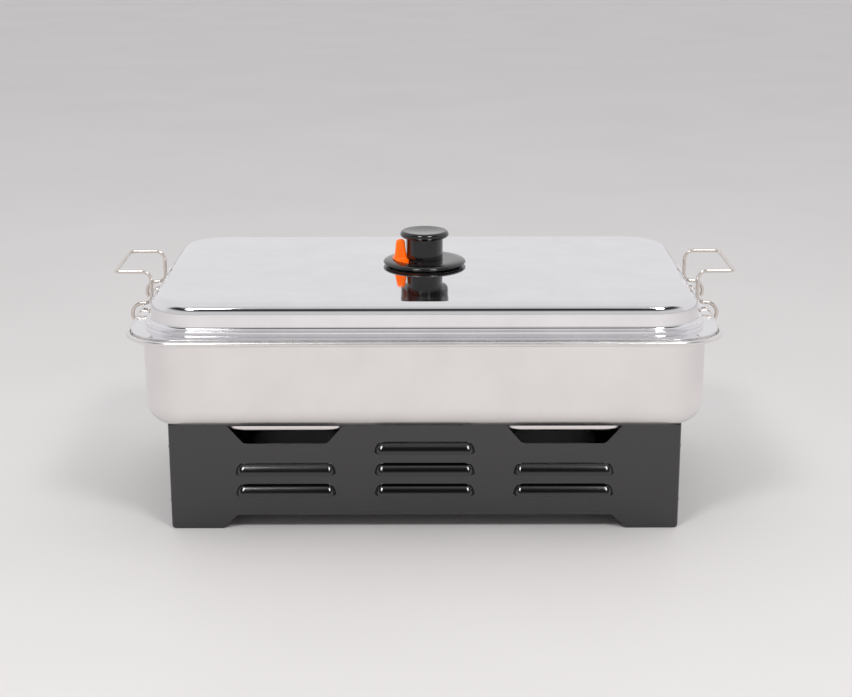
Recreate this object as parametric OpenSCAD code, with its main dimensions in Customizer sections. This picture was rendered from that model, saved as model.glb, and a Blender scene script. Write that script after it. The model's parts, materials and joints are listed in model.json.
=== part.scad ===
/* [Stand] */
// Length of the stand
stand_x = 472; // [471:1:474]
// Depth of the stand
stand_y = 267; // [266:1:270]
// Height of the stand
stand_z = 101.3; // [96:0.1:110]
// Sheet thickness of the stand
stand_t = 1.2; // [1:0.1:1.4]
// Distance of the outer louvres and the top cut-outs from the centre
louvre_x = 128.4; // [126:0.1:134]
// Height of the lip of the lowest row of louvres
louvre_low = 33.8; // [32:0.1:36]
// Vertical distance between two rows of louvres
louvre_pitch = 20.5; // [20:0.1:22]
// Width of one louvre at its lip
louvre_w = 93; // [80:1:96]
// Height of one louvre above its lip
louvre_rise = 10.1; // [9:0.1:11]
// Distance that a louvre's lip stands out from the face
louvre_depth = 6.8; // [5:0.1:7.5]
// Clear height under the stand between its feet
foot_gap = 13.3; // [11:0.1:15]

/* [Pans] */
// Length of the body of the water pan
body_x = 513; // [512:0.5:515]
// Depth of the body of the water pan
body_y = 308; // [307:0.5:310]
// Length of the water pan over its rolled rim
rim_x = 542; // [541:0.5:544]
// Depth of the water pan over its rolled rim
rim_y = 337; // [336:0.5:339]
// Height of the water pan's flange above its shoulder
pan_h = 86.7; // [84:0.1:92]
// Depth of the food pan
food_depth = 65; // [55:1:66]
// Sheet thickness of the pans and the lid
pan_t = 0.8; // [0.7:0.1:1]

/* [Lid] */
// Length of the raised part of the lid
lid_x = 501.5; // [498:0.5:502]
// Depth of the raised part of the lid
lid_y = 296.6; // [294:0.1:297]
// Height of the lid's top above its flange
lid_h = 28.2; // [26:0.1:34]
// Turn of the vent lever between closed and open
vent_turn = 30; // [20:1:32]

/* [Clips] */
// Diameter of the clip wire
wire_d = 3.5; // [3:0.1:3.6]
// Half the width of a wire clip
clip_half = 44; // [40:1:50]

/* [Burners] */
// Distance of each burner from the centre of the stand
burner_x = 130; // [120:1:135]
// Outer radius of a burner cup
cup_r = 40; // [38:0.5:41]
// Height of a burner cup
cup_h = 30; // [28:1:32]

/* [Hidden] */
$fn = 64;

// Heights of the stacked flanges
flange_z = stand_z + pan_h;
roll_r = 2.2;
roll_z = flange_z - 0.7;
food_flange_z = flange_z + 2.2;
lid_flange_z = food_flange_z + pan_t;
lid_top = lid_flange_z + lid_h;
lid_in = lid_top - pan_t;

// Corner radii in plan
body_r = 40;
rim_r = 48;
food_r = 36;
lid_r = 45;
food_flange_r = 42;
lid_flange_r = 47;

// Foot of the water pan, which drops into the stand, and the round shoulder above it
step_r = 14;
step_h = 8.8;
shoulder = 21;
shoulder_r = body_r - shoulder;

// Ledge round the foot of the lid
ledge_h = 4.5;
ledge_w = 5.25;

// Half sizes in plan
food_flange_hx = rim_x / 2 - 6;
food_flange_hy = rim_y / 2 - 6;
lid_flange_hx = rim_x / 2 - 4;
lid_flange_hy = rim_y / 2 - 4;

// Stand details
bend_r = 3;
return_w = 18;
cut_top = 108.5;
cut_bottom = 76.5;
cut_depth = 18;
foot_w = 48.5;
foot_corner = 5.5;
side_foot = 50;
side_x = stand_x / 2 - 2 * stand_t;
lip_h = 0.6;
hood_t = 1;
hood_slope = (louvre_rise - lip_h) / louvre_depth;
hood_skin = hood_t / sin(atan(hood_slope));
louvre_half = louvre_w / 2 - louvre_rise;
tray_z = 14.3;
tray_t = 1;
tray_flange = 12;
flange_notch = 15;
tray_hy = stand_y / 2 - stand_t - 0.3;
recess_r = cup_r + 2.2;
recess_z = 11;
seat_z = recess_z + tray_t;
rivet_r = 1.6;
rivet_head = [3.4, 1.5];
rivet_tail = [2.6, 1];
screw_head = [3.5, 2];
screw_nut = [3.3, 2.4];
rivet_zs = [25, 78];
rivet_y = stand_y / 2 - 10;
screw_ys = [-60, 60];

// Wire clip, in its own upright plane, and its pivot under the rim
wire_r = wire_d / 2;
grip_x = rim_x / 2 + 22;
grip_z = flange_z + 37;
leg_x = rim_x / 2 - 11.5;
arm_bend = 8.5;
foot_bend = 7;
grip_bend = 4;
hook_x = rim_x / 2 - 2.7;
hook_z = flange_z - 4;
hook_r = 10.3;
hook_turn = 162;
pivot_x = hook_x + hook_r * sin(hook_turn);
pivot_z = hook_z + hook_r * cos(hook_turn);
eye_in = 28;
eye_out = 40;
eye_r = 3.6;
hinge_r = wire_r + 0.15;
eye_gap = 0.08;
strap_t = 1.5;
strap_half = 44;
strap_head = [3.2, 1.4];
strap_tail = [2.4, 0.6];
strap_low = pivot_z - 6;
strap_high = pivot_z + 6;

// Knob, in heights above the lid's top
knob_foot_r = 37.5;
knob_foot_h = 3.5;
base_r = 40;
base_low = 4.3;
base_high = 8.2;
neck_r = 17.8;
neck_h = 30;
grip_r = 23.5;
grip_h = 36.3;
screw_r = 3;
hub_r = 18.5;
pocket_r = 32.5;
pocket_h = 6.1;
ring_in = 20;
ring_out = 32;
ring_low = 3.8;
ring_high = 5.6;
vent_r = 26;
vent_hole = 2.5;
vent_angles = [30, 90, 150];
lever_at = 195;
lever_r = 24.6;
lever_h = 14.8;
lever_w = 6.8;
lever_tip = 3.8;
slot_in = 22;
slot_out = 28.6;

// Burners
can_r = cup_r - 2.5;
can_h = 24;
pin_y = cup_r + 7;
pin_r = 2;
snuffer_z = seat_z + cup_h + 0.4;
handle_r = 1.8;
handle_z = handle_r + 0.5;

// Points of an arc about (cx, cz), from angle a to angle b
function arc(cx, cz, r, a, b, n = 10) =
    [for (i = [0:n]) [cx + r * cos(a + (b - a) * i / n), cz + r * sin(a + (b - a) * i / n)]];

// Rounded rectangle in plan, from half sizes and corner radius
module plan_rect(hx, hy, r) {
    square([2 * (hx - r), 2 * hy], center = true);
    square([2 * hx, 2 * (hy - r)], center = true);
    for (sx = [-1, 1], sy = [-1, 1]) translate([sx * (hx - r), sy * (hy - r)]) circle(r);
}

module flat_ring(z, t, outer, inner) {
    translate([0, 0, z]) linear_extrude(t) difference() {
        plan_rect(outer[0], outer[1], outer[2]);
        plan_rect(inner[0], inner[1], inner[2]);
    }
}

// Sweeps a profile, in distance from the corner centre and height, round a rectangle in plan
module swept(cx, cy, points) {
    for (q = [0:3]) {
        sx = (q == 0 || q == 3) ? 1 : -1;
        sy = q < 2 ? 1 : -1;
        translate([sx * cx, sy * cy, 0]) rotate([0, 0, 90 * q])
            rotate_extrude(angle = 90) polygon(points);
    }
    for (a = [0, 180]) rotate([0, 0, a]) {
        translate([cx, cy, 0]) rotate([90, 0, 0]) linear_extrude(2 * cy) polygon(points);
        translate([-cx, cy, 0]) rotate([90, 0, 90]) linear_extrude(2 * cx) polygon(points);
    }
}

// ---------------------------------------------------------------- stand

// Upright outline of the front and back panels: cut-outs at the top, feet at the bottom
module panel_outline() {
    hx = stand_x / 2;
    difference() {
        union() {
            translate([-hx, foot_corner]) square([2 * hx, stand_z - foot_corner]);
            translate([-hx + foot_corner, 0]) square([2 * (hx - foot_corner), stand_z]);
            for (s = [-1, 1]) translate([s * (hx - foot_corner), foot_corner]) circle(foot_corner);
        }
        for (s = [-1, 1]) translate([s * louvre_x, 0]) polygon([
            [-cut_bottom / 2, stand_z - cut_depth], [cut_bottom / 2, stand_z - cut_depth],
            [cut_top / 2, stand_z + 0.01], [cut_top / 2, stand_z + 2],
            [-cut_top / 2, stand_z + 2], [-cut_top / 2, stand_z + 0.01]]);
        polygon([[-hx + foot_w, -1], [-hx + foot_w, 0], [-hx + foot_w + foot_gap, foot_gap],
            [hx - foot_w - foot_gap, foot_gap], [hx - foot_w, 0], [hx - foot_w, -1]]);
    }
}

// Plan of a panel with its two ends bent back
module panel_plan() {
    hx = stand_x / 2;
    hy = stand_y / 2;
    intersection() {
        difference() {
            plan_rect(hx, hy, bend_r);
            plan_rect(hx - stand_t, hy - stand_t, bend_r - stand_t);
        }
        translate([-hx - 1, -hy - 1]) square([2 * hx + 2, return_w + 1]);
    }
}

// Half of a wedge with round ends, from its blunt lip at y = -depth to its base at y = back
module louvre_form(depth, back) {
    base = lip_h + hood_slope * (depth + back);
    rotate([90, 0, 0]) intersection() {
        union() {
            for (s = [-1, 1]) translate([s * louvre_half, 0, -back])
                cylinder(r1 = base, r2 = lip_h, h = depth + back);
            rotate([90, 0, 90]) linear_extrude(2 * louvre_half, center = true)
                polygon([[0, -back], [base, -back], [lip_h, depth], [0, depth]]);
        }
        translate([-louvre_w, 0, -louvre_w]) cube(2 * louvre_w);
    }
}

// Pressed-out hood of one louvre, in front of a face at y = 0
module hood() {
    difference() {
        louvre_form(louvre_depth, stand_t / 2);
        translate([0, hood_skin, 0]) louvre_form(louvre_depth, 2 * stand_t);
        translate([-louvre_w, stand_t / 2, -1]) cube([2 * louvre_w, louvre_w, louvre_w]);
    }
}

// Opening that a louvre leaves in the sheet behind its hood
module louvre_hole() {
    translate([0, hood_skin, 0]) louvre_form(louvre_depth, 2 * stand_t);
}

// Rows of louvres in one column, counted from the lowest
module louvre_column(x, rows) {
    for (i = [0:rows - 1]) translate([x, -stand_y / 2, louvre_low + i * louvre_pitch]) children();
}

module front_panel() {
    color("#464446") {
        difference() {
            intersection() {
                linear_extrude(stand_z) panel_plan();
                translate([0, stand_y, 0]) rotate([90, 0, 0]) linear_extrude(2 * stand_y) panel_outline();
            }
            for (s = [-1, 1]) louvre_column(s * louvre_x, 2) louvre_hole();
            louvre_column(0, 3) louvre_hole();
        }
        for (s = [-1, 1]) louvre_column(s * louvre_x, 2) hood();
        louvre_column(0, 3) hood();
    }
}

module back_panel() { rotate([0, 0, 180]) front_panel(); }

module side_outline() {
    hy = stand_y / 2 - bend_r - 0.3;
    difference() {
        translate([-hy, 0]) square([2 * hy, stand_z]);
        polygon([[-hy + side_foot, -1], [-hy + side_foot, 0], [-hy + side_foot + foot_gap, foot_gap],
            [hy - side_foot - foot_gap, foot_gap], [hy - side_foot, 0], [hy - side_foot, -1]]);
    }
}

module right_panel() {
    color("#464446") {
        difference() {
            translate([side_x, 0, 0]) rotate([90, 0, 90]) linear_extrude(stand_t) side_outline();
            side_louvres() louvre_hole();
        }
        side_louvres() hood();
    }
}

module side_louvres() {
    rotate([0, 0, 90]) translate([0, stand_y / 2 - side_x - stand_t, 0]) louvre_column(0, 3) children();
}

module left_panel() { rotate([0, 0, 180]) right_panel(); }

module burner_tray() {
    hx = side_x;
    color("#403e40") difference() {
        union() {
            translate([-hx, -tray_hy, tray_z]) cube([2 * hx, 2 * tray_hy, tray_t]);
            for (s = [-1, 1]) translate([s * (hx - tray_t / 2), 0, tray_z + tray_flange / 2])
                cube([tray_t, 2 * (tray_hy - flange_notch), tray_flange], center = true);
            for (s = [-1, 1]) translate([s * burner_x, 0, recess_z])
                cylinder(r = recess_r + tray_t, h = tray_z + tray_t - recess_z);
        }
        for (s = [-1, 1]) translate([s * burner_x, 0, seat_z]) cylinder(r = recess_r, h = 20);
    }
}

// Round-headed fastener along +X from the origin; its head and tail are given as [radius, height]
module fastener(head, shank_r, reach, tail) {
    bow = (head[0] * head[0] + head[1] * head[1]) / (2 * head[1]);
    rotate([0, 90, 0]) rotate_extrude() polygon(concat(
        [[0, -reach], [tail[0], -reach], [tail[0], tail[1] - reach], [shank_r, tail[1] - reach],
            [shank_r, 0]],
        arc(0, head[1] - bow, bow, asin((bow - head[1]) / bow), 90, 6)));
}

module panel_rivets() {
    color("#3a383a") for (a = [0, 180], sy = [-1, 1], z = rivet_zs) rotate([0, 0, a])
        translate([stand_x / 2, sy * rivet_y, z])
            fastener(rivet_head, rivet_r, 2 * stand_t + rivet_tail[1], rivet_tail);
}

module tray_screws() {
    color("#8c8a88") for (a = [0, 180], y = screw_ys) rotate([0, 0, a])
        translate([side_x + stand_t, y, tray_z + tray_flange / 2 + 1])
            fastener(screw_head, 1.9, stand_t + tray_t + screw_nut[1], screw_nut);
}

// ---------------------------------------------------------------- pans

module water_pan() {
    cx = body_x / 2 - body_r;
    cy = body_y / 2 - body_r;
    low = stand_z - step_h;
    outside = concat([[0, low]],
        arc(step_r - 3, low + 3, 3, -90, 0, 6), arc(step_r + 3, stand_z - 3, 3, 180, 90, 6),
        arc(shoulder_r, stand_z + shoulder, shoulder, -90, 0, 12),
        arc(body_r + 3, flange_z - pan_t - 3, 3, 180, 90, 6), [[body_r + 4, flange_z - pan_t]]);
    inside = concat([[body_r + 4, flange_z]],
        arc(body_r + 3, flange_z - pan_t - 3, 3 + pan_t, 90, 180, 6),
        arc(shoulder_r, stand_z + shoulder, shoulder - pan_t, 0, -90, 12),
        arc(step_r + 3, stand_z - 3, 3 + pan_t, 90, 180, 6),
        arc(step_r - 3, low + 3, 3 - pan_t, 0, -90, 6), [[0, low + pan_t]]);
    color("#d8d3d2") {
        swept(cx, cy, concat(outside, inside));
        translate([-cx - 0.01, -cy - 0.01, low]) cube([2 * cx + 0.02, 2 * cy + 0.02, pan_t]);
        flat_ring(flange_z - pan_t, pan_t, [rim_x / 2 - roll_r, rim_y / 2 - roll_r, rim_r - roll_r],
            [body_x / 2 + 3, body_y / 2 + 3, body_r + 3]);
        swept(rim_x / 2 - rim_r, rim_y / 2 - rim_r, arc(rim_r - roll_r, roll_z, roll_r, 0, 350, 35));
    }
}

module food_pan() {
    hx = body_x / 2 - body_r + food_r;
    hy = body_y / 2 - body_r + food_r;
    low = food_flange_z - food_depth;
    outside = concat([[0, low]], arc(food_r - 12, low + 12, 12, -90, 0, 10),
        arc(food_r + 3.2, food_flange_z - pan_t - 3.2, 3.2, 180, 90, 6),
        [[food_r + 4.5, food_flange_z - pan_t]]);
    inside = concat([[food_r + 4.5, food_flange_z]],
        arc(food_r + 3.2, food_flange_z - pan_t - 3.2, 3.2 + pan_t, 90, 180, 6),
        arc(food_r - 12, low + 12, 12 - pan_t, 0, -90, 10), [[0, low + pan_t]]);
    color("#dcdad9") {
        swept(hx - food_r, hy - food_r, concat(outside, inside));
        translate([-hx + food_r - 0.01, -hy + food_r - 0.01, low])
            cube([2 * (hx - food_r) + 0.02, 2 * (hy - food_r) + 0.02, pan_t]);
        flat_ring(food_flange_z - pan_t, pan_t, [food_flange_hx, food_flange_hy, food_flange_r],
            [hx + 4, hy + 4, food_r + 4]);
        flat_ring(flange_z, food_flange_z - flange_z, [food_flange_hx, food_flange_hy, food_flange_r],
            [food_flange_hx - pan_t, food_flange_hy - pan_t, food_flange_r - pan_t]);
    }
}

module lid() {
    cx = lid_x / 2 - lid_r;
    cy = lid_y / 2 - lid_r;
    ledge = lid_flange_z + ledge_h;
    edge = lid_r + ledge_w;
    outside = concat([[0, lid_top]], arc(lid_r - 10.5, lid_top - 10.5, 10.5, 90, 0, 12),
        arc(lid_r + 2, ledge + 2, 2, 180, 270, 6), arc(edge - 1, ledge - 1, 1, 90, 0, 5),
        arc(edge + 1, lid_flange_z + 1, 1, 180, 270, 5), [[edge + 2.5, lid_flange_z]]);
    inside = concat([[edge + 2.5, food_flange_z]],
        arc(edge + 1, lid_flange_z + 1, 1 + pan_t, 270, 180, 5),
        arc(edge - 1, ledge - 1, 1 - pan_t, 0, 90, 3),
        arc(lid_r + 2, ledge + 2, 2 + pan_t, 270, 180, 6),
        arc(lid_r - 10.5, lid_top - 10.5, 10.5 - pan_t, 0, 90, 12), [[0, lid_in]]);
    color("#dad8db") difference() {
        union() {
            swept(cx, cy, concat(outside, inside));
            translate([-cx - 0.01, -cy - 0.01, lid_in]) cube([2 * cx + 0.02, 2 * cy + 0.02, pan_t]);
            flat_ring(food_flange_z, pan_t, [lid_flange_hx, lid_flange_hy, lid_flange_r],
                [lid_x / 2 + ledge_w + 2, lid_y / 2 + ledge_w + 2, edge + 2]);
        }
        translate([0, 0, lid_in - 1]) vent_holes(pan_t + 2);
        translate([0, 0, lid_in - 1]) cylinder(r = screw_r + 0.2, h = pan_t + 2);
    }
}

module vent_holes(h, turned = 0) {
    for (a = vent_angles) rotate([0, 0, a + turned]) translate([vent_r, 0, 0]) cylinder(r = vent_hole, h = h);
}

// ---------------------------------------------------------------- knob and vent

module knob_foot() {
    color("#2b2a2c") translate([0, 0, lid_top]) difference() {
        rotate_extrude() polygon([[0, 0], [knob_foot_r - 2.5, 0], [knob_foot_r, knob_foot_h - 0.8],
            [knob_foot_r - 0.8, knob_foot_h], [0, knob_foot_h]]);
        translate([0, 0, -1]) vent_holes(knob_foot_h + 2);
        translate([0, 0, -1]) cylinder(r = screw_r + 0.2, h = knob_foot_h + 2);
    }
}

module ring_sector(r_in, r_out, h, from, to) {
    rotate([0, 0, from]) rotate_extrude(angle = to - from) translate([r_in, 0]) square([r_out - r_in, h]);
}

module knob_base() {
    color("#161617") translate([0, 0, lid_top]) difference() {
        union() {
            rotate_extrude() polygon(concat([[0, base_low]],
                arc(base_r - 1.2, base_low + 1.2, 1.2, -90, 0, 5),
                arc(base_r - 2.6, base_high - 2.6, 2.6, 0, 90, 8), [[0, base_high]]));
            translate([0, 0, knob_foot_h]) cylinder(r = hub_r, h = 2);
        }
        difference() {
            translate([0, 0, base_low - 1]) cylinder(r = pocket_r, h = pocket_h - base_low + 1);
            cylinder(r = hub_r + 0.9, h = 20);
        }
        translate([0, 0, base_low]) ring_sector(slot_in, slot_out, 10, lever_at - 20, lever_at + 68);
        cylinder(r = screw_r + 0.2, h = 20);
    }
}

module knob_grip() {
    color("#101011") translate([0, 0, lid_top]) difference() {
        rotate_extrude() polygon(concat([[0, base_high], [neck_r, base_high]],
            arc(neck_r + 1.2, neck_h - 1.2, 1.2, 180, 90, 4),
            arc(grip_r - 2.4, neck_h + 2.4, 2.4, -90, 0, 6),
            arc(grip_r - 3.6, grip_h - 3.6, 3.6, 0, 80, 8), [[grip_r - 7, grip_h - 0.3], [0, grip_h - 1]]));
        translate([0, 0, base_high - 1]) cylinder(r = screw_r, h = 17);
    }
}

module knob_screw() {
    color("#a8a6a4") translate([0, 0, lid_in - 1.2]) {
        cylinder(r = screw_r - 0.05, h = 26);
        translate([0, 0, -3]) difference() {
            cylinder(r = 5.6, h = 3);
            translate([-6, -0.6, -1]) cube([12, 1.2, 2]);
        }
    }
}

module knob_washer() {
    color("#b5b3b0") translate([0, 0, lid_in - 1.2]) difference() {
        cylinder(r = 9, h = 1.2);
        translate([0, 0, -1]) cylinder(r = screw_r + 0.2, h = 4);
    }
}

module vent_lever() {
    pad_low = base_high + 0.2;
    pad_high = pad_low + 1.5;
    color("#ff6a14") translate([0, 0, lid_top]) difference() {
        union() {
            translate([0, 0, ring_low]) difference() {
                cylinder(r = ring_out, h = ring_high - ring_low);
                translate([0, 0, -1]) cylinder(r = ring_in, h = 5);
            }
            translate([0, 0, ring_high - 0.5]) ring_sector(slot_in + 0.6, slot_out - 0.6,
                pad_low - ring_high + 1, lever_at - 17, lever_at + 34);
            translate([0, 0, pad_low]) ring_sector(19.4, 31, pad_high - pad_low, lever_at - 30, lever_at + 28);
            rotate([0, 0, lever_at]) translate([lever_r, 0, pad_high - 0.2]) intersection() {
                union() {
                    cylinder(r1 = 5.6, r2 = lever_tip, h = lever_h);
                    translate([0, 0, lever_h]) sphere(lever_tip);
                }
                translate([-8, -lever_w / 2, 0]) cube([16, lever_w, 2 * lever_h]);
            }
        }
        translate([0, 0, ring_low - 1]) vent_holes(ring_high - ring_low + 1.5, -vent_turn);
    }
}

// ---------------------------------------------------------------- clips

// Part of a ring of wire in the upright X-Z plane, from angle a over a sweep
module wire_arc(x, z, r, a, sweep) {
    translate([x, 0, z]) rotate([90, 0, 0]) rotate([0, 0, a])
        rotate_extrude(angle = sweep) translate([r, 0]) circle(wire_r, $fn = 32);
}

module wire_rod(x, z, length, turn) {
    translate([x, 0, z]) rotate([0, turn, 0]) cylinder(r = wire_r, h = length);
}

module right_clip() {
    leg_low = hook_z + hook_r + foot_bend;
    color("#c9c2bc") {
        for (s = [-1, 1]) {
            translate([0, s * clip_half, 0]) {
                wire_rod(leg_x + arm_bend, grip_z, grip_x - grip_bend - leg_x - arm_bend, 90);
                wire_arc(leg_x + arm_bend, grip_z - arm_bend, arm_bend, 90, 90);
                wire_rod(leg_x, leg_low, grip_z - arm_bend - leg_low, 0);
                wire_arc(leg_x + foot_bend, leg_low, foot_bend, 180, 90);
                wire_rod(leg_x + foot_bend, leg_low - foot_bend, hook_x - leg_x - foot_bend, 90);
                translate([hook_x, 0, hook_z]) rotate([90, 0, 0]) rotate([0, 0, 90]) mirror([0, 1, 0])
                    rotate_extrude(angle = hook_turn) translate([hook_r, 0]) circle(wire_r, $fn = 32);
            }
            translate([grip_x - grip_bend, s * (clip_half - grip_bend), grip_z]) rotate([0, 0, s < 0 ? -90 : 0])
                rotate_extrude(angle = 90) translate([grip_bend, 0]) circle(wire_r, $fn = 32);
            translate([pivot_x, s * (eye_in - 2), pivot_z]) rotate([s > 0 ? -90 : 90, 0, 0])
                cylinder(r = hinge_r, h = clip_half + hinge_r - eye_in + 2);
        }
        translate([grip_x, clip_half - grip_bend, grip_z]) rotate([90, 0, 0])
            cylinder(r = wire_r, h = 2 * (clip_half - grip_bend));
    }
}

module left_clip() { rotate([0, 0, 180]) right_clip(); }

// Strap on the end wall of the water pan with two eyes for the wire ends
module right_bracket() {
    wall = body_x / 2;
    color("#cfc9c6") difference() {
        union() {
            translate([wall, -strap_half, strap_low]) cube([strap_t, 2 * strap_half, strap_high - strap_low]);
            for (s = [-1, 1]) translate([0, s * (eye_in + eye_out) / 2, 0]) rotate([90, 0, 0])
                translate([0, 0, -(eye_out - eye_in) / 2]) linear_extrude(eye_out - eye_in) {
                    translate([pivot_x, pivot_z]) circle(eye_r);
                    translate([wall, pivot_z - eye_r]) square([pivot_x - wall, 2]);
                }
        }
        translate([pivot_x, strap_half, pivot_z]) rotate([90, 0, 0])
            cylinder(r = hinge_r + eye_gap, h = 2 * strap_half);
    }
}

module left_bracket() { rotate([0, 0, 180]) right_bracket(); }

module bracket_rivets() {
    color("#bdb8b5") for (a = [0, 180], y = [-18, 0, 18]) rotate([0, 0, a])
        translate([body_x / 2 + strap_t, y, pivot_z])
            fastener(strap_head, rivet_r, strap_t + pan_t + strap_tail[1], strap_tail);
}

// ---------------------------------------------------------------- burners

module burner_cup() {
    color("#8b8987") translate([burner_x, 0, seat_z]) {
        difference() {
            cylinder(r = cup_r, h = cup_h);
            translate([0, 0, 0.8]) cylinder(r = cup_r - 1, h = cup_h);
        }
        translate([0, 0, cup_h - 1.2]) rotate_extrude() translate([cup_r, 0]) circle(1.2, $fn = 32);
        difference() {
            translate([-4, cup_r - 1, cup_h - 12]) cube([8, pin_y - cup_r + 5, 6]);
            cylinder(r = cup_r - 0.5, h = cup_h);
        }
        translate([0, pin_y, cup_h - 12]) cylinder(r = pin_r, h = 17);
        translate([0, pin_y, cup_h - 12]) cylinder(r = 4, h = snuffer_z - seat_z - cup_h + 12);
    }
}

module fuel_can() {
    color("#c9b07a") translate([burner_x, 0, seat_z + 0.8]) difference() {
        cylinder(r = can_r, h = can_h);
        translate([0, 0, 0.4]) cylinder(r = can_r - 0.4, h = can_h - 0.8);
        translate([0, 0, can_h - 1]) cylinder(r = 24, h = 2);
    }
}

module wick_pad() {
    color("#e8e2d4") translate([burner_x, 0, seat_z + 1.2]) cylinder(r = can_r - 1, h = can_h - 5);
}

module snuffer() {
    color("#6f6d6b") translate([burner_x, 0, snuffer_z]) difference() {
        union() {
            cylinder(r = cup_r + 1, h = 1);
            translate([-5, cup_r - 4, 0]) cube([10, pin_y - cup_r + 4, 1]);
            translate([0, pin_y, 0]) cylinder(r = 5, h = 3);
            translate([0, -cup_r - 6, handle_z]) rotate([-90, 0, 0]) cylinder(r = handle_r, h = 12);
            translate([0, -cup_r - 7, handle_z]) sphere(3.4);
        }
        translate([0, pin_y, -1]) cylinder(r = pin_r + 0.08, h = 8);
    }
}

module to_left() { rotate([0, 0, 180]) children(); }

front_panel();
back_panel();
left_panel();
right_panel();
burner_tray();
panel_rivets();
tray_screws();
water_pan();
left_bracket();
right_bracket();
bracket_rivets();
food_pan();
lid();
knob_foot();
knob_base();
knob_grip();
knob_screw();
knob_washer();
vent_lever();
left_clip();
right_clip();
to_left() burner_cup();  // left_burner_cup
burner_cup();  // right_burner_cup
to_left() fuel_can();  // left_fuel_can
fuel_can();  // right_fuel_can
to_left() wick_pad();  // left_wick_pad
wick_pad();  // right_wick_pad
to_left() snuffer();  // left_snuffer
snuffer();  // right_snuffer
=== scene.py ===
"""Looks of the chafing dish food warmer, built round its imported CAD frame. Metres, +Z up."""
import json
import math

import bpy
import bmesh
from mathutils import Matrix, Vector
from mathutils.geometry import delaunay_2d_cdt


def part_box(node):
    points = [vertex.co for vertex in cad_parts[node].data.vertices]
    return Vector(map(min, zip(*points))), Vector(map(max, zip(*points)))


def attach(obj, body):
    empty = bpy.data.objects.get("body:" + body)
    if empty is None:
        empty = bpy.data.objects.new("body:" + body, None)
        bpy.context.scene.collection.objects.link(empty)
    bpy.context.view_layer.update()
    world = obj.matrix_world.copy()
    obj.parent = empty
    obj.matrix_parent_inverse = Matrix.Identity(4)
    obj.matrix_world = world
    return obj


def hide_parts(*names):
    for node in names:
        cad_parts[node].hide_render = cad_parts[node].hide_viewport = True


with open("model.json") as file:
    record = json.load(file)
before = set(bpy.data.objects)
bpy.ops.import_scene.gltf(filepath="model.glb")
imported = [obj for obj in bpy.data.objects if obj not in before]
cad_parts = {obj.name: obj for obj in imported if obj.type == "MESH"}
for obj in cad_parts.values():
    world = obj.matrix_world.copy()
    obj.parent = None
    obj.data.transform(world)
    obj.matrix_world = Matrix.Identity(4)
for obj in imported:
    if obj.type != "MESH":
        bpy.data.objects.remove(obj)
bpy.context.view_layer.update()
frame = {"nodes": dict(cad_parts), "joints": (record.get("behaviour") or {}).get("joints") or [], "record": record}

MM = 0.001
NODES = frame["nodes"]
JOINTS = {joint["name"]: joint for joint in frame["joints"]}

# ------------------------------------------------------------------ materials


def new_material(name):
    """An empty node material with its shader, and the helper that adds linked nodes."""
    material = bpy.data.materials.new(name)
    material.use_nodes = True
    tree = material.node_tree
    tree.nodes.clear()
    output = tree.nodes.new("ShaderNodeOutputMaterial")
    shader = tree.nodes.new("ShaderNodeBsdfPrincipled")
    tree.links.new(shader.outputs[0], output.inputs[0])
    return material, tree, shader


def add(tree, kind, inputs=None, **settings):
    """Adds a node, sets its properties, and fills its inputs with values or links."""
    node = tree.nodes.new(kind)
    for key, value in settings.items():
        setattr(node, key, value)
    for key, value in (inputs or {}).items():
        if isinstance(value, bpy.types.NodeSocket):
            tree.links.new(value, node.inputs[key])
        else:
            node.inputs[key].default_value = value
    return node


def object_space(tree, scale=(1, 1, 1)):
    """Object coordinates, stretched to draw grain along one axis."""
    place = add(tree, "ShaderNodeTexCoord")
    return add(tree, "ShaderNodeMapping", {"Vector": place.outputs["Object"], "Scale": scale}).outputs[0]


def noise(tree, vector, scale, detail=3.0, roughness=0.5):
    inputs = {"Vector": vector, "Scale": scale, "Detail": detail, "Roughness": roughness}
    return add(tree, "ShaderNodeTexNoise", inputs).outputs[0]


def spread(tree, value, low, high, start=0.3, end=0.7):
    """Maps a value from start..end onto low..high, and holds it there beyond the ends."""
    return add(tree, "ShaderNodeMapRange", {0: value, 1: start, 2: end, 3: low, 4: high}).outputs[0]


def blend_colours(tree, factor, first, second):
    node = add(tree, "ShaderNodeMix", data_type="RGBA")
    tree.links.new(factor, node.inputs[0])
    node.inputs[6].default_value = (*first, 1)
    node.inputs[7].default_value = (*second, 1)
    return node.outputs[2]


def link(tree, source, shader, socket):
    tree.links.new(source, shader.inputs[socket])


def bump(tree, shader, heights, depths):
    """Chains bump nodes, one for each height map, with depths in metres."""
    normal = None
    for height, depth in zip(heights, depths):
        inputs = {"Height": height, "Distance": depth, "Strength": 1.0}
        if normal is not None:
            inputs["Normal"] = normal
        normal = add(tree, "ShaderNodeBump", inputs).outputs[0]
    tree.links.new(normal, shader.inputs["Normal"])


GRAIN_DEPTH = 0.0000015
WAVE_DEPTH = 0.00002
SMUDGE = 0.03


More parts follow.
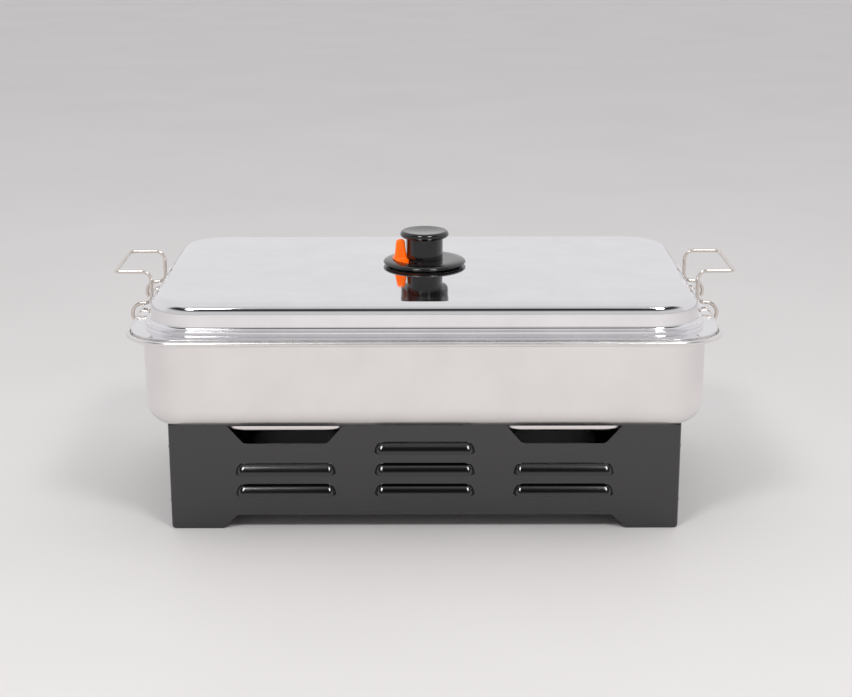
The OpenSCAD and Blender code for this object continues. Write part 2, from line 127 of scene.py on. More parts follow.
def steel(name, tone, rough, grain=(1, 1, 1), grain_scale=900):
    """Stainless steel: fine grain, faint pressing waves, and soft handling smudges in the polish."""
    material, tree, shader = new_material(name)
    shader.inputs["Metallic"].default_value = 1.0
    plain = object_space(tree)
    fine = noise(tree, object_space(tree, grain), grain_scale, 4.0, 0.6)
    broad = noise(tree, plain, 7.0, 2.0)
    patch = noise(tree, plain, 23.0, 5.0, 0.65)
    darker = tuple(channel * 0.93 for channel in tone)
    link(tree, blend_colours(tree, spread(tree, patch, 0, 1), darker, tone), shader, "Base Color")
    grainy = spread(tree, fine, rough * 0.8, rough * 1.25)
    marks = spread(tree, patch, 0.0, SMUDGE, 0.45, 0.75)
    smudged = add(tree, "ShaderNodeMath", {0: grainy, 1: marks}, operation="ADD").outputs[0]
    link(tree, smudged, shader, "Roughness")
    bump(tree, shader, [broad, fine], [WAVE_DEPTH, GRAIN_DEPTH])
    return material


SKIN_DEPTH = 0.000005


def plastic(name, tone, rough, coat=0.0, light=1.25, shine=0.5, painted_glow=0.0):
    """Moulded plastic: a fine moulded skin and slight flow marks; its emission is painted light, a glow that
    brightens plastic which little lamp light reaches.
    """
    material, tree, shader = new_material(name)
    shader.inputs["Coat Weight"].default_value = coat
    shader.inputs["Specular IOR Level"].default_value = shine
    shader.inputs["Emission Color"].default_value = (*tone, 1)
    shader.inputs["Emission Strength"].default_value = painted_glow
    shader.inputs["Coat Roughness"].default_value = 0.05
    plain = object_space(tree)
    skin = noise(tree, plain, 2600.0, 2.0)
    flow = noise(tree, plain, 60.0, 4.0, 0.6)
    lighter = tuple(min(1.0, channel * light) for channel in tone)
    link(tree, blend_colours(tree, spread(tree, flow, 0, 1), tone, lighter), shader, "Base Color")
    link(tree, spread(tree, flow, rough * 0.8, rough * 1.3), shader, "Roughness")
    bump(tree, shader, [flow, skin], [SKIN_DEPTH * 4, SKIN_DEPTH])
    return material


def powder_coat(name, tone, rough=0.13):
    """Near-black coated sheet: orange-peel skin, satin sheen and paler worn edges."""
    material, tree, shader = new_material(name)
    shader.inputs["IOR"].default_value = 1.8
    plain = object_space(tree)
    peel = noise(tree, plain, 1500.0, 2.0)
    cloud = noise(tree, plain, 14.0, 5.0, 0.6)
    edge = add(tree, "ShaderNodeNewGeometry").outputs["Pointiness"]
    wear = spread(tree, edge, 0.0, 0.5, 0.54, 0.62)
    lighter = tuple(channel * 1.16 for channel in tone)
    worn = tuple(min(1.0, channel * 2.4) for channel in tone)
    cloudy = blend_colours(tree, spread(tree, cloud, 0, 1), tone, lighter)
    mixed = add(tree, "ShaderNodeMix", data_type="RGBA")
    tree.links.new(wear, mixed.inputs[0])
    tree.links.new(cloudy, mixed.inputs[6])
    mixed.inputs[7].default_value = (*worn, 1)
    link(tree, mixed.outputs[2], shader, "Base Color")
    link(tree, spread(tree, cloud, rough * 0.88, rough * 1.12), shader, "Roughness")
    bump(tree, shader, [peel], [0.00002])
    return material


def fibre(name, tone):
    """Pressed fibre wick."""
    material, tree, shader = new_material(name)
    plain = object_space(tree)
    strands = noise(tree, object_space(tree, (1, 1, 0.2)), 420.0, 6.0, 0.75)
    darker = tuple(channel * 0.72 for channel in tone)
    link(tree, blend_colours(tree, spread(tree, strands, 0, 1), darker, tone), shader, "Base Color")
    shader.inputs["Roughness"].default_value = 0.95
    bump(tree, shader, [strands, noise(tree, plain, 90.0)], [0.0006, 0.0004])
    return material


MATERIALS = {
    "stand_paint": powder_coat("stand_paint", (0.0017, 0.0014, 0.0018)),
    "tray_paint": powder_coat("tray_paint", (0.008, 0.0075, 0.008), 0.4),
    "rivet_dark": powder_coat("rivet_dark", (0.009, 0.008, 0.009), 0.26),
    "zinc": steel("zinc", (0.60, 0.59, 0.57), 0.25),
    "pan_steel": steel("pan_steel", (0.86, 0.835, 0.825), 0.2, (60, 60, 2), 40),
    "food_steel": steel("food_steel", (0.85, 0.84, 0.83), 0.28),
    "lid_steel": steel("lid_steel", (0.88, 0.87, 0.885), 0.05),
    "bracket_steel": steel("bracket_steel", (0.74, 0.72, 0.70), 0.25),
    "wire_steel": steel("wire_steel", (0.76, 0.70, 0.65), 0.2),
    "foot_plastic": plastic("foot_plastic", (0.03, 0.03, 0.031), 0.2, shine=0.9),
    "knob_plastic": plastic("knob_plastic", (0.004, 0.004, 0.0044), 0.1, 0.35),
    # The orange plastic's emission is painted light: it brightens the dimly lit front of the vent lever.
    "vent_plastic": plastic("vent_plastic", (1.0, 0.14, 0.0), 0.3, light=1.08, shine=0.3, painted_glow=0.33),
    "screw_steel": steel("screw_steel", (0.64, 0.63, 0.61), 0.22),
    # The burner cup's dark tone is painted shade for the dim inside of the stand, seen through its cut-outs.
    "cup_steel": steel("cup_steel", (0.16, 0.15, 0.14), 0.42),
    "can_tin": steel("can_tin", (0.62, 0.50, 0.28), 0.3),
    "wick_fibre": fibre("wick_fibre", (0.78, 0.73, 0.62)),
    # The snuffer's near-black tone is painted shade for the dim inside of the stand, far darker than bare steel.
    "snuffer_steel": steel("snuffer_steel", (0.045, 0.042, 0.04), 0.5),
}

for part in frame["record"]["subparts"]:
    mesh = NODES[part["node"]].data
    mesh.materials.clear()
    mesh.materials.append(MATERIALS[part["material_slot"]])

# ------------------------------------------------------------------ mesh helpers

CORNER_STEPS = 20


def finish_mesh(name, mesh_data, slot, body, *nodes):
    """Makes the object of a bmesh, with even normals, and hangs it on its body."""
    bmesh.ops.remove_doubles(mesh_data, verts=mesh_data.verts, dist=1e-7)
    bmesh.ops.recalc_face_normals(mesh_data, faces=mesh_data.faces)
    for face in mesh_data.faces:
        face.smooth = True
    mesh = bpy.data.meshes.new(name)
    mesh_data.to_mesh(mesh)
    mesh_data.free()
    made = bpy.data.objects.new(name, mesh)
    bpy.context.scene.collection.objects.link(made)
    mesh.materials.append(MATERIALS[slot])
    even = made.modifiers.new("even_normals", "WEIGHTED_NORMAL")
    even.keep_sharp = True
    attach(made, body)
    if nodes:
        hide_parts(*nodes)
    return made


def arc(cx, cz, r, a, b, steps=8):
    """Points of an arc about (cx, cz), from angle a to b in degrees."""
    turns = [math.radians(a + (b - a) * i / steps) for i in range(steps + 1)]
    return [(cx + r * math.cos(t), cz + r * math.sin(t)) for t in turns]


def rounded_ring(hx, hy, r, z):
    """Closed ring of points round a rounded rectangle, the same number at any size."""
    points = []
    for quarter, (sx, sy) in enumerate(((1, 1), (-1, 1), (-1, -1), (1, -1))):
        for step in range(CORNER_STEPS + 1):
            turn = math.radians(90 * quarter + 90 * step / CORNER_STEPS)
            points.append((sx * (hx - r) + r * math.cos(turn), sy * (hy - r) + r * math.sin(turn), z))
    return points


def add_loft(work, rings, closed=False):
    """Skins a list of rings; the first and last are capped unless the skin closes on itself."""
    loops = [[work.verts.new(point) for point in ring] for ring in rings]
    count = len(loops[0])
    pairs = list(zip(loops[:-1], loops[1:]))
    if closed:
        pairs.append((loops[-1], loops[0]))
    for lower, upper in pairs:
        for i in range(count):
            j = (i + 1) % count
            work.faces.new((lower[i], lower[j], upper[j], upper[i]))
    if not closed:
        work.faces.new(loops[0])
        work.faces.new(loops[-1])


def loft(rings, closed=False):
    work = bmesh.new()
    add_loft(work, rings, closed)
    return work


def corner(before, point, after, steps=5):
    """Points of a smooth bend from one point to another, pulled towards the corner between them."""
    a, c, b = Vector(before), Vector(point), Vector(after)
    turns = [i / steps for i in range(steps + 1)]
    return [tuple((1 - t) ** 2 * a + 2 * t * (1 - t) * c + t * t * b) for t in turns]


def rounded_loop(marks):
    """Closed outline from (x, z, reach) corners, each rounded over its reach."""
    points = []
    for i, (x, z, reach) in enumerate(marks):
        here = Vector((x, z))
        if reach == 0:
            points.append((x, z))
            continue
        back = (Vector(marks[i - 1][:2]) - here).normalized() * reach
        ahead = (Vector(marks[(i + 1) % len(marks)][:2]) - here).normalized() * reach
        points += corner(here + back, here, here + ahead)
    return points


def inset(loop, by):
    """Moves a closed outline to its left by a distance: inwards if it runs anticlockwise."""
    moved = []
    for i, point in enumerate(loop):
        here = Vector(point)
        into = (here - Vector(loop[i - 1])).normalized()
        out = (Vector(loop[(i + 1) % len(loop)]) - here).normalized()
        normal = Vector((-into.y - out.y, into.x + out.x)) / (1 + into.dot(out))
        moved.append(tuple(here + by * normal))
    return moved


def inside(point, loop):
    """Whether a point lies inside a closed outline, by counting crossings."""
    crossings = 0
    for (ax, az), (bx, bz) in zip(loop, loop[1:] + loop[:1]):
        if (az > point.y) != (bz > point.y) and point.x < ax + (point.y - az) * (bx - ax) / (bz - az):
            crossings += 1
    return crossings % 2 == 1


def fill(work, loops, depth, place, folds=()):
    """Faces inside the first outline and outside the others; folds join pairs of its points."""
    points = []
    edges = list(folds)
    for loop in loops:
        first = len(points)
        points += [Vector(point) for point in loop]
        edges += [(first + i, first + (i + 1) % len(loop)) for i in range(len(loop))]
    found = delaunay_2d_cdt(points, edges, [], 0, 1e-7)
    verts = [work.verts.new(place(point.x, point.y, depth)) for point in found[0]]
    for triangle in found[2]:
        middle = sum((found[0][k] for k in triangle), Vector((0, 0))) / 3
        if inside(middle, loops[0]) and not any(inside(middle, hole) for hole in loops[1:]):
            work.faces.new([verts[k] for k in triangle])
    bmesh.ops.delete(work, geom=[vert for vert in verts if not vert.link_faces], context="VERTS")


def rim(work, loop, edge, place):
    """Skins the edge of a sheet round one outline, from the front face to the back."""
    rings = [[work.verts.new(place(x, z, depth)) for x, z in inset(loop, by)] for by, depth in edge]
    for front, back in zip(rings[:-1], rings[1:]):
        for i in range(len(loop)):
            j = (i + 1) % len(loop)
            work.faces.new((front[i], front[j], back[j], back[i]))


def sheet(work, outline, edge, cuts, place, louvres=(), folds=()):
    """Sheet of metal or plastic; edges are lists of (inset, depth) from the front to the back."""
    rim(work, outline, edge, place)
    for loop, cut_edge in cuts:
        rim(work, loop, cut_edge, place)
    for side in (0, -1):
        loops = [inset(outline, edge[side][0])]
        loops += [inset(loop, cut_edge[side][0]) for loop, cut_edge in cuts]
        loops += [pair[side] for pair in louvres]
        fill(work, loops, edge[side][1], place, folds)


def around(base, profile):
    """Rings whose distance from a base (hx, hy, r) and height follow a profile."""
    return [rounded_ring(base[0] + o, base[1] + o, base[2] + o, z) for o, z in profile]


def lathe(profile, turns=96):
    """Turns a profile of (radius, height) round +Z through the origin."""
    rings = []
    for r, z in profile:
        rings.append([(r * math.cos(2 * math.pi * i / turns), r * math.sin(2 * math.pi * i / turns), z)
                      for i in range(turns)])
    return rings


def tube(path, radius, sides=18):
    """Sweeps a circle along a path of points, with flat ends."""
    points = [Vector(point) for point in path]
    rings = []
    side = None
    for i, point in enumerate(points):
        ahead = points[min(i + 1, len(points) - 1)] - points[max(i - 1, 0)]
        ahead.normalize()
        if side is None:
            side = ahead.orthogonal().normalized()
        side = (side - ahead * side.dot(ahead)).normalized()
        other = ahead.cross(side)
        rings.append([tuple(point + radius * (math.cos(t) * side + math.sin(t) * other))
                      for t in (2 * math.pi * k / sides for k in range(sides))])
    return loft(rings)


# ------------------------------------------------------------------ stand

# Sizes of the stand's sheets, in millimetres
STAND_T = 1.2
BEND_R = 3.0
RETURN_W = 18.0
FOOT_W = 48.5
SIDE_FOOT = 50.0
FOOT_GAP = 13.3
FOOT_CORNER = 5.5
CUT_TOP = 108.5
CUT_BOTTOM = 76.5
CUT_DEPTH = 18.0
LOUVRE_X = 128.4
LOUVRE_LOW = 33.8
LOUVRE_PITCH = 20.5
LOUVRE_RISE = 10.1
LOUVRE_DEPTH = 6.8
LIP_H = 0.6
LIP_OUT = 7.4
LIP_HALF = 40.5
SKIN_T = 1.18
SHEET_EDGE = [(0.3, 0), (0.09, 0.09), (0, 0.3), (0, STAND_T - 0.3), (0.3, STAND_T)]

front_low, front_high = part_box("front_panel")
STAND_HX = front_high.x / MM
STAND_HY = -front_low.y / MM - LOUVRE_DEPTH
STAND_Z = front_high.z / MM


def mirrored(marks):
    """Completes an outline from its right half, listed from the bottom centre to the top centre."""
    return marks + [(-x, z, reach) for x, z, reach in reversed(marks)]


def arch(x, z, r, steps=14):
    """Outline of a hood over its lip, r high: square-shouldered, with ends that lean outwards."""
    half = LIP_HALF + 0.55 * r
    bow = 0.8 * r + 1.2
    turns = [math.radians(90 * i / steps) for i in range(steps + 1)]
    right = [(half - bow + bow * math.cos(t) ** 0.85, r * math.sin(t) ** 0.85) for t in turns[:-1]]
    right.append((half - bow, r))
    return [(x + u, z + v) for u, v in right] + [(x - u, z + v) for u, v in reversed(right)]


def louvre_loops(x, z):
    """Outlines, run clockwise, that one louvre leaves in the front and back of its sheet."""
    return arch(x, z, LOUVRE_RISE + 1.0)[::-1], arch(x, z, LOUVRE_RISE)[::-1]


def add_louvre(work, x, z, place):
    """Pressed hood, in (radius, depth): outer skin from its foot over its brow to its lip, inner
    skin, and the cut edge between them."""
    outer = corner((LOUVRE_RISE + 1.0, 0), (LOUVRE_RISE + 0.05, 0), (LOUVRE_RISE - 0.1, -0.5), 5)
    outer += corner((LOUVRE_RISE - 0.4, -1.1), (LOUVRE_RISE - 1.6, -3.4), (LOUVRE_RISE - 6.0, -6.0), 9)
    outer += corner((LOUVRE_RISE - 6.3, -6.15), (LIP_H + 1.6, 0.4 - LIP_OUT), (0.05, -LIP_OUT), 7)
    inner = [(0.05, SKIN_T - LIP_OUT), (LIP_H, SKIN_T - LIP_OUT), (LOUVRE_RISE - 6.0, -4.7),
             (LOUVRE_RISE - 3.2, -3.0), (LOUVRE_RISE - 1.0, -0.6), (LOUVRE_RISE, STAND_T)]
    for profile in (outer, inner):
        rings = [[work.verts.new(place(*point, depth)) for point in arch(x, z, r)]
                 for r, depth in profile]
        for first, second in zip(rings[:-1], rings[1:]):
            for i in range(len(first) - 1):
                work.faces.new((first[i], first[i + 1], second[i + 1], second[i]))
    outer = [(arch(0, 0, r)[0][0], depth) for r, depth in outer]
    inner = [(arch(0, 0, r)[0][0], depth) for r, depth in inner]
    cut = [(x + u, depth) for u, depth in outer] + [(x - u, depth) for u, depth in reversed(outer)]
    cut += [(x - u, depth) for u, depth in reversed(inner)] + [(x + u, depth) for u, depth in inner]
    work.faces.new([work.verts.new(place(u, z, depth)) for u, depth in cut])
    front, back = outer[0][0], inner[-1][0]
    sill = [(x + front, 0), (x - front, 0), (x - back, STAND_T), (x + back, STAND_T)]
    work.faces.new([work.verts.new(place(u, z, depth)) for u, depth in sill])


def long_panel(turn):
    """Front panel, or the back one turned half round: a face with its two ends bent back."""
    flat = STAND_HX - BEND_R
    bend = BEND_R * math.pi / 2
    end = flat + bend + RETURN_W - BEND_R
    breaks = [flat + bend * i / 6 for i in range(7)]
    corner_start = STAND_HX - FOOT_CORNER
    corner_run = flat + bend - corner_start

    def place(s, z, depth):
        """Wraps the flat pattern round the bends; depth is measured into the sheet."""
        side = math.copysign(1, s)
        s = abs(s)
        if s <= flat:
            x, y = s, depth
        elif s < flat + bend:
            angle = (s - flat) / BEND_R
            x = flat + (BEND_R - depth) * math.sin(angle)
            y = BEND_R - (BEND_R - depth) * math.cos(angle)
        else:
            x, y = STAND_HX - depth, BEND_R + s - flat - bend
        return (turn * side * x * MM, turn * (y - STAND_HY) * MM, z * MM)

    def foot_curve(s):
        """Height of the quarter ellipse that rounds the bottom of the stand's corner."""
        return FOOT_CORNER * (1 - math.sqrt(max(0, 1 - ((s - corner_start) / corner_run) ** 2)))

    marks = [(STAND_HX - FOOT_W - FOOT_GAP, FOOT_GAP, 1.5), (STAND_HX - FOOT_W, 0, 1.0)]
    marks += [(corner_start, 0, 0)] + [(s, foot_curve(s), 0) for s in breaks]
    marks += [(end, FOOT_CORNER, 2.5), (end, STAND_Z, 2.5)] + [(s, STAND_Z, 0) for s in reversed(breaks)]
    marks += [(LOUVRE_X + CUT_TOP / 2, STAND_Z, 1.5), (LOUVRE_X + CUT_BOTTOM / 2, STAND_Z - CUT_DEPTH, 2),
              (LOUVRE_X - CUT_BOTTOM / 2, STAND_Z - CUT_DEPTH, 2), (LOUVRE_X - CUT_TOP / 2, STAND_Z, 1.5)]
    outline = rounded_loop(mirrored(marks))
    folds = []
    for s in breaks:
        for side in (1, -1):
            folds.append(tuple(i for i, point in enumerate(outline) if abs(point[0] - side * s) < 1e-6))
    centres = [(x, LOUVRE_LOW + row * LOUVRE_PITCH) for x, rows in ((-LOUVRE_X, 2), (0, 3), (LOUVRE_X, 2))
               for row in range(rows)]
    return outline, folds, centres, place


def end_panel(turn):
    """Right panel, or the left one turned half round: a flat plate inside the bent ends."""
    half = STAND_HY - BEND_R - 0.3
    face = STAND_HX - STAND_T

    def place(s, z, depth):
        return (turn * (face - depth) * MM, turn * s * MM, z * MM)

    marks = [(half - SIDE_FOOT - FOOT_GAP, FOOT_GAP, 1.5), (half - SIDE_FOOT, 0, 1.0), (half, 0, 1.0),
             (half, STAND_Z, 1.0)]
    centres = [(0, LOUVRE_LOW + row * LOUVRE_PITCH) for row in range(3)]
    return rounded_loop(mirrored(marks)), [], centres, place


def make_panel(side, parts):
    outline, folds, centres, place = parts
    work = bmesh.new()
    louvres = [louvre_loops(*centre) for centre in centres]
    sheet(work, outline, SHEET_EDGE, [], place, louvres, folds)
    for centre in centres:
        add_louvre(work, *centre, place)
    finish_mesh(f"{side}_panel_sheet", work, "stand_paint", "stand", f"{side}_panel")


make_panel("front", long_panel(1))
make_panel("back", long_panel(-1))
make_panel("right", end_panel(1))
make_panel("left", end_panel(-1))

# ------------------------------------------------------------------ pans

SHEET = 0.8 * MM
pan_low, pan_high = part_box("water_pan")
lid_low, lid_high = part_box("lid")
food_low, food_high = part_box("food_pan")
stand_top = front_high.z

ROLL_R = 2.2 * MM
RIM_R = 48 * MM
BODY_R = 40 * MM
FOOD_R = 36 * MM
RIM_TO_BODY = 14.5 * MM
FLANGE_Z = pan_high.z - 1.5 * MM


def make_water_pan():
    """Deep pan: a body that steps in to sit inside the stand, and a rim rolled round its edge."""
    base = (pan_high.x - RIM_TO_BODY, pan_high.y - RIM_TO_BODY, BODY_R)
    roll = (pan_high.x - ROLL_R, pan_high.y - ROLL_R, RIM_R - ROLL_R)
    low = pan_low.z
    step = -26 * MM
    shoulder = -21 * MM
    fillet = 3 * MM
    heel = 4.2 * MM
    top = FLANGE_Z - SHEET

    def skin(out):
        """One face of the sheet: out is 0 on the outside, the thickness inside."""
        points = [(-BODY_R + 0.5 * MM, low + out), (step - heel - 2 * MM, low + out)]
        points += arc(step - heel, low + heel, heel - out, -90, 0, 9)
        points += arc(step + fillet, stand_top - fillet, fillet + out, 180, 90, 6)
        points += arc(shoulder, stand_top - shoulder, -shoulder - out, -90, 0, 14)
        points += [(-out, top - 40 * MM)]
        points += arc(fillet, top - fillet, fillet + out, 180, 90, 8)
        return points

    rings = around(base, skin(0))
    rings += [rounded_ring(roll[0] + ox, roll[1] + ox, roll[2] + ox, FLANGE_Z - 0.7 * MM + oz)
              for ox, oz in arc(0, 0, ROLL_R, 183, 520, 26)]
    rings += list(reversed(around(base, skin(SHEET))))
    finish_mesh("water_pan_skin", loft(rings), "pan_steel", "water_pan", "water_pan")


def make_food_pan():
    """Shallower pan that hangs in the water pan by its flat flange."""
    base = (pan_high.x - RIM_TO_BODY - 4 * MM, pan_high.y - RIM_TO_BODY - 4 * MM, FOOD_R)
    edge = (food_high.x, food_high.y, 42 * MM)
    low = food_low.z
    heel = 12 * MM
    fillet = 3.2 * MM
    top = food_high.z - SHEET
    lip = FLANGE_Z

    def skin(out):
        points = [(-FOOD_R + 0.5 * MM, low + out), (-heel - 8 * MM, low + out)]
        points += arc(-heel, low + heel, heel - out, -90, 0, 10)
        points += [(-out, top - 30 * MM)]
        points += arc(fillet, top - fillet, fillet + out, 180, 90, 8)
        return points

    rings = around(base, skin(0))
    for back, z in ((SHEET + 0.8 * MM, top), (SHEET, top - 0.8 * MM), (SHEET, lip), (0, lip)):
        rings.append(rounded_ring(edge[0] - back, edge[1] - back, edge[2] - back, z))
    for ox, oz in arc(-1.4 * MM, -1.4 * MM, 1.4 * MM, 0, 90, 5):
        rings.append(rounded_ring(edge[0] + ox, edge[1] + ox, edge[2] + ox, food_high.z + oz))
    rings += list(reversed(around(base, skin(SHEET))))
    finish_mesh("food_pan_skin", loft(rings), "food_steel", "food_pan", "food_pan")


LID_R = 45 * MM
LID_INSET = 16.25 * MM
LEDGE = 5.25 * MM
SWELL_R = 130 * MM
SWELL_H = 2.6 * MM
SEAT_R = 42 * MM
HOLE_R = 3.2 * MM


def swell(drop):
    """Rings over the middle of the lid, which rises gently to the seat of the knob."""
    rings = []
    for i in range(31):
        r = HOLE_R + (SWELL_R - HOLE_R) * i / 30
        fall = max(0, (r - SEAT_R) / (SWELL_R - SEAT_R))
        rise = SWELL_H * 0.5 * (1 + math.cos(math.pi * fall))
        rings.append(rounded_ring(r, r, r, lid_high.z + rise - drop))
    return rings


def make_lid():
    """Lid: a gently raised top, a rounded crown, upright walls, and a stepped flange."""
    base = (lid_high.x - LID_INSET, lid_high.y - LID_INSET, LID_R)
    edge = (lid_high.x, lid_high.y, 47 * MM)
    flange = lid_low.z + SHEET
    ledge_z = flange + 4.5 * MM
    crown = 10.5 * MM
    foot = 3.4 * MM
    small = 1 * MM

    def skin(drop):
        """One face of the sheet: drop is 0 on the outside, the thickness inside."""
        points = [(-crown - 2 * MM, lid_high.z - drop)]
        points += arc(-crown, lid_high.z - crown, crown - drop, 90, 0, 16)
        points += [(-drop, ledge_z + 6 * MM)]
        points += arc(foot, ledge_z + foot, foot + drop, 180, 270, 8)
        points += arc(LEDGE - small, ledge_z - small, small - drop, 90, 0, 6)
        points += arc(LEDGE + small, flange + small, small + drop, 180, 270, 6)
        return points

    rings = swell(0) + around(base, skin(0))
    rings += [rounded_ring(edge[0] + ox, edge[1] + ox, edge[2] + ox, flange - SHEET / 2 + oz)
              for ox, oz in arc(-SHEET / 2, 0, SHEET / 2, 90, -90, 6)]
    rings += list(reversed(swell(SHEET) + around(base, skin(SHEET))))
    finish_mesh("lid_skin", loft(rings, closed=True), "lid_steel", "lid", "lid")


make_water_pan()
make_food_pan()
make_lid()

# ------------------------------------------------------------------ knob and vent

LID_TOP = lid_high.z


AXIS_R = 0.05


def knob_piece(name, profile, slot, node):
    """Turned piece of the knob, from (radius, height over the lid) in millimetres. A profile that
    meets the axis stops at a tiny ring round it, so that no face shrinks to nothing."""
    rings = lathe([(max(r, AXIS_R) * MM, LID_TOP + h * MM) for r, h in profile])
    finish_mesh(name, loft(rings), slot, "lid", node)


knob_piece("knob_foot_disc",
           [(0, 1.2), (26, 1.2)] + corner((29, 2.2), (35.2, 2.5), (37.6, 4.0), 10)
           + arc(37.35, 4.2, 0.25, 0, 90, 5) + [(0, 4.45)],
           "foot_plastic", "knob_foot")
knob_piece("knob_grip_body",
           [(0, 8.7), (17.6, 8.7), (17.8, 9), (17.8, 20)]
           + arc(19.3, 28.5, 1.5, 180, 90, 6) + arc(21.1, 32.4, 2.4, -90, 0, 8)
           + arc(19.9, 32.7, 3.6, 0, 75, 10) + [(18, 36.1), (14, 35.6), (7, 35.3), (0, 35.2)],
           "knob_plastic", "knob_grip")


def polar(r, turn):
    turn = math.radians(turn)
    return (r * math.cos(turn), r * math.sin(turn))


def sector(r_in, r_out, start, end, reach):
    """Rounded outline of part of a ring in plan, angles in degrees, running clockwise."""
    radian = 57.3  # in degrees, rounded
    trim_out = reach / r_out * radian
    trim_in = reach / r_in * radian
    outer = arc(0, 0, r_out, end - trim_out, start + trim_out, 24)
    inner = arc(0, 0, r_in, start + trim_in, end - trim_in, 24)
    first = corner(outer[-1], polar(r_out, start), polar(r_out - reach, start))
    second = corner(polar(r_in + reach, start), polar(r_in, start), inner[0])
    third = corner(inner[-1], polar(r_in, end), polar(r_in + reach, end))
    fourth = corner(polar(r_out - reach, end), polar(r_out, end), outer[0])
    return outer + first[1:] + second + inner[1:] + third[1:] + fourth[:-1]


BASE_R = 40
BASE_TOP = 8.7
LEVER_AT = 195
LEVER_R = 24.0


def level(height):
    """Places plan points, in millimetres, under a height above the lid's top."""
    return lambda x, y, depth: (x * MM, y * MM, LID_TOP + (height - depth) * MM)


def make_knob_base():
    """Gloss disc under the grip, with the curved slot that the vent lever runs in."""
    work = bmesh.new()
    circle = arc(0, 0, BASE_R, 0, 360, 120)[:-1]
    profile = corner((29.5, BASE_TOP), (39.2, 8.6), (BASE_R, 5.8), 16) + arc(39.3, 5.6, 0.7, 0, -90, 6)
    edge = [(BASE_R - r, BASE_TOP - h) for r, h in profile]
    slot = sector(22, 28.6, LEVER_AT - 20, LEVER_AT + 68, 1.5)
    slot_edge = [(0.35, edge[0][1]), (0.1, edge[0][1] + 0.15), (0, edge[0][1] + 0.4), (0, edge[-1][1])]
    sheet(work, circle, edge, [(slot, slot_edge)], level(BASE_TOP))
    finish_mesh("knob_base_disc", work, "knob_plastic", "lid", "knob_base")


def make_vent_lever():
    """Orange lever: a curved pad on the disc, a flat tapered post and a ring under the disc."""
    work = bmesh.new()
    pad = sector(19.6, 31, LEVER_AT - 30, LEVER_AT + 28, 1.6)[::-1]
    sheet(work, pad, [(0.6, 0), (0.17, 0.17), (0, 0.6), (0, 1.45)], [], level(10.2))
    stem = sector(22.8, 28, LEVER_AT - 17, LEVER_AT + 34, 0.8)[::-1]
    sheet(work, stem, [(0, 0), (0, 4.4)], [], level(9.1))
    ring = [(r * MM, LID_TOP + h * MM) for r, h in ((20, 4.5), (32, 4.5), (32, 4.85), (20, 4.85))]
    add_loft(work, lathe(ring), closed=True)
    rings = []
    heights = [(9.6, 7.4, 4.6), (10.2, 6.3, 3.7), (11.4, 5.8, 3.4), (17, 5.1, 3.2), (24.6, 4.3, 2.9)]
    heights += [(24.6 + 4.0 * math.sin(t), 4.3 * math.cos(t) ** 0.6, 2.9 * math.cos(t) ** 0.6)
                for t in (math.radians(11 * i) for i in range(1, 9))]
    turn = Matrix.Rotation(math.radians(LEVER_AT), 4, "Z") @ Matrix.Translation((LEVER_R * MM, 0, LID_TOP))
    for z, half_r, half_t in heights:
        ring = rounded_ring(half_r * MM, half_t * MM, min(half_r, half_t) * 0.72 * MM, z * MM)
        rings.append([tuple(turn @ Vector(point)) for point in ring])
    add_loft(work, rings)
    finish_mesh("vent_lever_moulding", work, "vent_plastic", "vent_lever", "vent_lever")


make_knob_base()
make_vent_lever()

# ------------------------------------------------------------------ wire clips


def make_clip(side, sign):
    """One bent wire: an eye end, round the rim, up a leg, round the grip and back down."""
    pivot = Vector(JOINTS[f"{side}_clip_swing"]["pos_m"])
    low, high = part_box(f"{side}_clip")
    wire = 1.75 * MM
    grip_x = max(abs(low.x), abs(high.x)) - wire
    grip_z = high.z - wire
    leg_x = pan_high.x - 11.5 * MM
    hook_x = pan_high.x - 2.7 * MM
    hook_z = FLANGE_Z - 4 * MM
    hook_r = 10.3 * MM
    foot_r = 7 * MM
    elbow_r = 8.5 * MM
    bend = 4 * MM
    end = 2.6 * MM
    half = 44 * MM
    eye_length = 16.6 * MM
    profile = arc(hook_x, hook_z, hook_r, -72, 90, 18)
    profile += arc(leg_x + foot_r, hook_z + hook_r + foot_r, foot_r, 270, 180, 10)
    profile += arc(leg_x + elbow_r, grip_z - elbow_r, elbow_r, 180, 90, 12)
    grip = [(x, y) for y, x in arc(half - bend, grip_x - bend, bend, 0, 90, 10)]
    eye = [(abs(pivot.x), half - eye_length, pivot.z)]
    eye += [(abs(pivot.x), half - end + end * math.sin(math.radians(15 * i)), pivot.z) for i in range(6)]
    leg = eye + [(x, half, z) for x, z in profile] + [(x, y, grip_z) for x, y in grip]
    path = leg + [(x, -y, z) for x, y, z in reversed(leg)]
    path = [(sign * x, sign * y, z) for x, y, z in path]
    finish_mesh(f"{side}_clip_wire", tube(path, wire), "wire_steel", f"{side}_clip", f"{side}_clip")


make_clip("left", -1)
make_clip("right", 1)

# ------------------------------------------------------------------ floor, light, camera


def pale_floor():
    mesh = bpy.data.meshes.new("floor")
    half = 9.0
    ends = [(-half, -half, 0), (half, -half, 0), (half, half, 0), (-half, half, 0)]
    mesh.from_pydata(ends, [], [(0, 1, 2, 3)])
    floor = bpy.data.objects.new("floor", mesh)
    bpy.context.scene.collection.objects.link(floor)
    material, tree, shader = new_material("pale_floor")
    cloud = spread(tree, noise(tree, object_space(tree), 3.0, 4.0), 0, 1)
    pale = blend_colours(tree, cloud, (0.80, 0.775, 0.765), (0.83, 0.805, 0.795))
    link(tree, pale, shader, "Base Color")
    shader.inputs["Roughness"].default_value = 0.6
    mesh.materials.append(material)


SOFTBOX_SIZE = 0.6
SOFTBOX_POWER = 17
SOFTBOX_AIM = Vector((0, 0, 0.2))


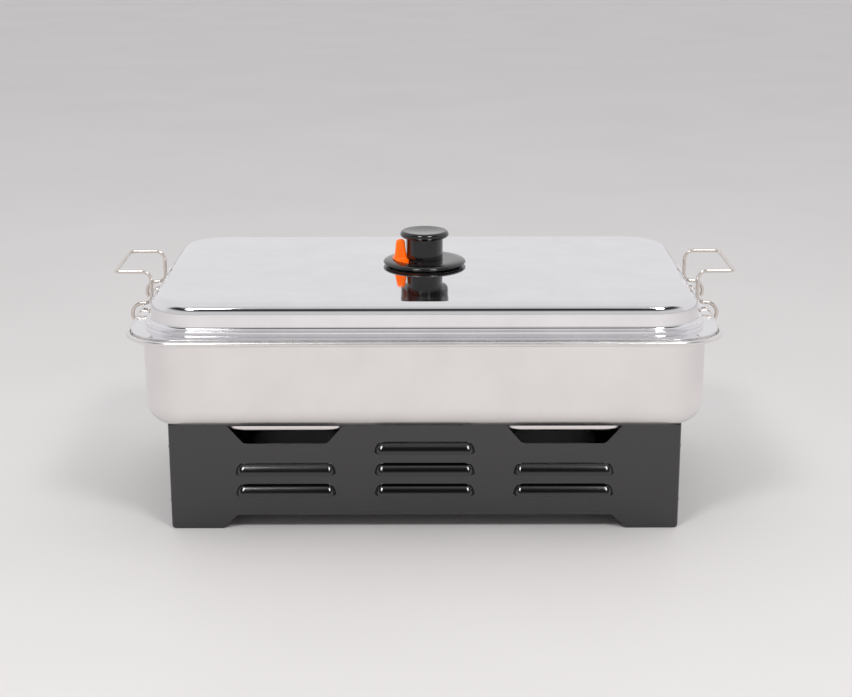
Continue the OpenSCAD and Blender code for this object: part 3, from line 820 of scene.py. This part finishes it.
def softbox(name, place):
    """Square lamp, aimed at the middle of the object."""
    lamp = bpy.data.lights.new(name, "AREA")
    lamp.shape = "RECTANGLE"
    lamp.size = SOFTBOX_SIZE
    lamp.size_y = SOFTBOX_SIZE
    lamp.energy = SOFTBOX_POWER
    holder = bpy.data.objects.new(name, lamp)
    bpy.context.scene.collection.objects.link(holder)
    holder.location = place
    aim = SOFTBOX_AIM - Vector(place)
    holder.rotation_euler = aim.to_track_quat("-Z", "Y").to_euler()


WALL_BEHIND = 0.81
WALL_FRONT = 0.66
BAND_SHARE = 0.05


def product(tree, first, second):
    return add(tree, "ShaderNodeMath", {0: first, 1: second}, operation="MULTIPLY").outputs[0]


def smooth_step(tree, value, start, end):
    """0 at start, 1 at end, eased between."""
    node = add(tree, "ShaderNodeMapRange", {0: value, 1: start, 2: end, 3: 0.0, 4: 1.0},
               interpolation_type="SMOOTHSTEP")
    return node.outputs[0]


def studio_world():
    """Pale surroundings, with a dark band high up in front, between the walls and the ceiling."""
    world = bpy.data.worlds.new("studio")
    bpy.context.scene.world = world
    world.use_nodes = True
    tree = world.node_tree
    tree.nodes.clear()
    output = tree.nodes.new("ShaderNodeOutputWorld")
    direction = add(tree, "ShaderNodeTexCoord").outputs["Generated"]
    parts = add(tree, "ShaderNodeSeparateXYZ", {0: direction})
    front = smooth_step(tree, parts.outputs[1], 0.0, -0.3)
    above = smooth_step(tree, parts.outputs[2], 0.36, 0.62)
    below = smooth_step(tree, parts.outputs[2], 0.90, 0.76)
    band = product(tree, front, product(tree, above, below))
    walls = spread(tree, front, WALL_BEHIND, WALL_FRONT, 0.0, 1.0)
    dimmed = spread(tree, band, 1.0, BAND_SHARE, 0.0, 1.0)
    strength = product(tree, walls, dimmed)
    shade = add(tree, "ShaderNodeBackground", {"Color": (0.985, 0.98, 1.0, 1), "Strength": strength})
    tree.links.new(shade.outputs[0], output.inputs[0])


CAMERA_PLACE = (0.00361, -1.61952, 0.59662)
CAMERA_TURN = 0.083
CAMERA_DOWN = 15.868
CAMERA_ROLL = -0.11
CAMERA_LENS = 72.09


def place_camera():
    """Camera in front of the object and a little above it, almost square to it."""
    data = bpy.data.cameras.new("camera")
    data.sensor_width = 36.0
    data.lens = CAMERA_LENS
    camera = bpy.data.objects.new("camera", data)
    bpy.context.scene.collection.objects.link(camera)
    camera.matrix_world = (Matrix.Translation(CAMERA_PLACE)
                           @ Matrix.Rotation(math.radians(CAMERA_TURN), 4, "Z")
                           @ Matrix.Rotation(math.radians(90 - CAMERA_DOWN), 4, "X")
                           @ Matrix.Rotation(math.radians(CAMERA_ROLL), 4, "Z"))
    bpy.context.scene.camera = camera


pale_floor()
studio_world()
softbox("softbox_left", (-0.82, -1.54, 2.13))
softbox("softbox_right", (0.90, -1.49, 2.13))
bpy.context.scene.view_settings.view_transform = "Standard"
place_camera()

bpy.context.view_layer.update()
